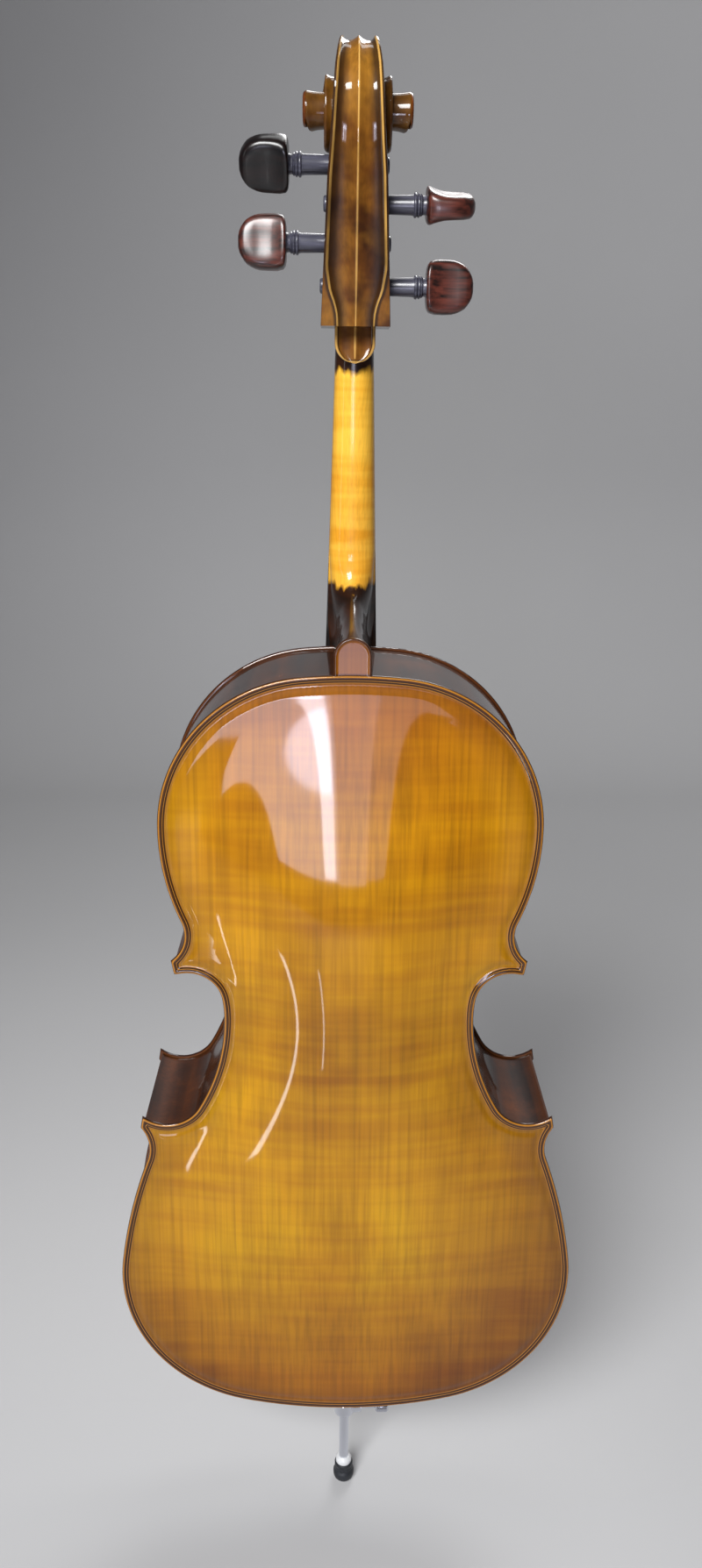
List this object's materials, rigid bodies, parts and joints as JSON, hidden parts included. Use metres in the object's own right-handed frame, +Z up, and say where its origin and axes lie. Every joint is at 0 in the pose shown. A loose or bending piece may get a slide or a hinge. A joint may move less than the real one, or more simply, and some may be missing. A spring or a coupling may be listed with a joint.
{
  "type": "cello",
  "caption": "Full-size cello with carved plates, scroll, tuning pegs that turn, tailpiece with fine tuners, and an endpin that slides and clamps.",
  "frame": {"origin": "point of the rubber tip that rests on the floor, under the middle of the ribs, with the endpin drawn out 88 mm below its collar", "axes": "+Z up along the endpin and the body, -Y towards the strings, +Y towards the back, -X the bass (C string) side"},
  "size_m": [0.4338, 0.2582, 1.3955],
  "materials": {
    "back_maple": "clear golden brown varnish",
    "top_spruce": "amber varnish",
    "rib_maple": "dark brown varnish",
    "bare_spruce": "bare",
    "purfling_line": "under varnish",
    "neck_maple": "golden varnish",
    "ebony": "polished",
    "bridge_maple": "bare",
    "peg_rosewood": "oiled",
    "string_steel": "wound",
    "bright_chrome": "polished",
    "black_plastic": "satin",
    "tip_rubber": "matte",
    "pin_steel": "ground"
  },
  "bodies": {
    "instrument": {"back_bass": "back_maple", "back_treble": "back_maple", "top_bass": "top_spruce", "top_treble": "top_spruce", "purfling_back": "purfling_line", "purfling_top": "purfling_line", "rib_upper_bass": "rib_maple", "rib_upper_treble": "rib_maple", "rib_waist_bass": "rib_maple", "rib_waist_treble": "rib_maple", "rib_lower_bass": "rib_maple", "rib_lower_treble": "rib_maple", "top_block": "bare_spruce", "bottom_block": "bare_spruce", "corner_blocks": "bare_spruce", "linings_back": "bare_spruce", "linings_top": "bare_spruce", "bass_bar": "bare_spruce", "sound_post": "bare_spruce", "neck_and_scroll": "neck_maple", "fingerboard": "ebony", "nut": "ebony", "bridge": "bridge_maple", "saddle": "ebony", "tailpiece": "black_plastic", "tailgut": "black_plastic", "tuner_pins": "pin_steel", "string_c": "string_steel", "string_g": "string_steel", "string_d": "string_steel", "string_a": "string_steel", "endpin_plug": "ebony", "endpin_collar": "bright_chrome"},
    "peg_c": {"peg_c": "peg_rosewood", "winding_c": "string_steel"},
    "peg_g": {"peg_g": "peg_rosewood", "winding_g": "string_steel"},
    "peg_d": {"peg_d": "peg_rosewood", "winding_d": "string_steel"},
    "peg_a": {"peg_a": "peg_rosewood", "winding_a": "string_steel"},
    "endpin": {"endpin_rod": "bright_chrome", "endpin_ferrule": "bright_chrome", "endpin_tip": "tip_rubber"},
    "clamp_screw": {"endpin_screw": "bright_chrome"},
    "clamp_knob": {"endpin_screw_knob": "bright_chrome"},
    "tuner_lever_c": {"tuner_lever_c": "bright_chrome"},
    "tuner_screw_c": {"tuner_screw_c": "bright_chrome"},
    "tuner_knob_c": {"tuner_knob_c": "bright_chrome"},
    "tuner_lever_g": {"tuner_lever_g": "bright_chrome"},
    "tuner_screw_g": {"tuner_screw_g": "bright_chrome"},
    "tuner_knob_g": {"tuner_knob_g": "bright_chrome"},
    "tuner_lever_d": {"tuner_lever_d": "bright_chrome"},
    "tuner_screw_d": {"tuner_screw_d": "bright_chrome"},
    "tuner_knob_d": {"tuner_knob_d": "bright_chrome"},
    "tuner_lever_a": {"tuner_lever_a": "bright_chrome"},
    "tuner_screw_a": {"tuner_screw_a": "bright_chrome"},
    "tuner_knob_a": {"tuner_knob_a": "bright_chrome"}
  },
  "joints": [
    {"name": "peg_c_turn", "type": "hinge", "parent": "instrument", "child": "peg_c", "pos_m": [0, -0.008, 1.2215], "axis": [-1, 0, 0], "continuous": true},
    {"name": "peg_g_turn", "type": "hinge", "parent": "instrument", "child": "peg_g", "pos_m": [0, 0.013, 1.2805], "axis": [-1, 0, 0], "continuous": true},
    {"name": "peg_d_turn", "type": "hinge", "parent": "instrument", "child": "peg_d", "pos_m": [0, 0.021, 1.3072], "axis": [1, 0, 0], "continuous": true},
    {"name": "peg_a_turn", "type": "hinge", "parent": "instrument", "child": "peg_a", "pos_m": [0, 0.003, 1.2527], "axis": [1, 0, 0], "continuous": true},
    {"name": "endpin_slide", "type": "slide", "parent": "instrument", "child": "endpin", "axis": [0, 0, 1], "range_m": [-0.25, 0.045]},
    {"name": "clamp_screw_travel", "type": "slide", "parent": "instrument", "child": "clamp_screw", "axis": [1, 0, 0], "range_m": [-0.003, 0]},
    {"name": "clamp_knob_turn", "type": "hinge", "parent": "clamp_screw", "child": "clamp_knob", "pos_m": [-0.04, 0, 0.096], "axis": [1, 0, 0], "range_deg": [-1080, 0]},
    {"name": "tuner_c_travel", "type": "slide", "parent": "instrument", "child": "tuner_screw_c", "axis": [0, 0.9613, 0.2756], "range_m": [-0.003, 0]},
    {"name": "tuner_c_turn", "type": "hinge", "parent": "tuner_screw_c", "child": "tuner_knob_c", "pos_m": [-0.02175, -0.13202, 0.36072], "axis": [0, 0.9613, 0.2756], "range_deg": [-2160, 0]},
    {"name": "tuner_c_tilt", "type": "hinge", "parent": "instrument", "child": "tuner_lever_c", "pos_m": [-0.02175, -0.1188, 0.3926], "axis": [1, 0, 0], "range_deg": [-6.5, 0]},
    {"name": "tuner_g_travel", "type": "slide", "parent": "instrument", "child": "tuner_screw_g", "axis": [0, 0.9613, 0.2756], "range_m": [-0.003, 0]},
    {"name": "tuner_g_turn", "type": "hinge", "parent": "tuner_screw_g", "child": "tuner_knob_g", "pos_m": [-0.00725, -0.13202, 0.36072], "axis": [0, 0.9613, 0.2756], "range_deg": [-2160, 0]},
    {"name": "tuner_g_tilt", "type": "hinge", "parent": "instrument", "child": "tuner_lever_g", "pos_m": [-0.00725, -0.1188, 0.3926], "axis": [1, 0, 0], "range_deg": [-6.5, 0]},
    {"name": "tuner_d_travel", "type": "slide", "parent": "instrument", "child": "tuner_screw_d", "axis": [0, 0.9613, 0.2756], "range_m": [-0.003, 0]},
    {"name": "tuner_d_turn", "type": "hinge", "parent": "tuner_screw_d", "child": "tuner_knob_d", "pos_m": [0.00725, -0.13202, 0.36072], "axis": [0, 0.9613, 0.2756], "range_deg": [-2160, 0]},
    {"name": "tuner_d_tilt", "type": "hinge", "parent": "instrument", "child": "tuner_lever_d", "pos_m": [0.00725, -0.1188, 0.3926], "axis": [1, 0, 0], "range_deg": [-6.5, 0]},
    {"name": "tuner_a_travel", "type": "slide", "parent": "instrument", "child": "tuner_screw_a", "axis": [0, 0.9613, 0.2756], "range_m": [-0.003, 0]},
    {"name": "tuner_a_turn", "type": "hinge", "parent": "tuner_screw_a", "child": "tuner_knob_a", "pos_m": [0.02175, -0.13202, 0.36072], "axis": [0, 0.9613, 0.2756], "range_deg": [-2160, 0]},
    {"name": "tuner_a_tilt", "type": "hinge", "parent": "instrument", "child": "tuner_lever_a", "pos_m": [0.02175, -0.1188, 0.3926], "axis": [1, 0, 0], "range_deg": [-6.5, 0]}
  ],
  "couplings": [
    {"joint": "clamp_screw_travel", "follows": "clamp_knob_turn", "m_per_rad": 0.00015915},
    {"joint": "tuner_c_travel", "follows": "tuner_c_turn", "m_per_rad": 0.000079577},
    {"joint": "tuner_c_tilt", "follows": "tuner_c_turn", "ratio": 0.0029473},
    {"joint": "tuner_g_travel", "follows": "tuner_g_turn", "m_per_rad": 0.000079577},
    {"joint": "tuner_g_tilt", "follows": "tuner_g_turn", "ratio": 0.0029473},
    {"joint": "tuner_d_travel", "follows": "tuner_d_turn", "m_per_rad": 0.000079577},
    {"joint": "tuner_d_tilt", "follows": "tuner_d_turn", "ratio": 0.0029473},
    {"joint": "tuner_a_travel", "follows": "tuner_a_turn", "m_per_rad": 0.000079577},
    {"joint": "tuner_a_tilt", "follows": "tuner_a_turn", "ratio": 0.0029473}
  ]
}
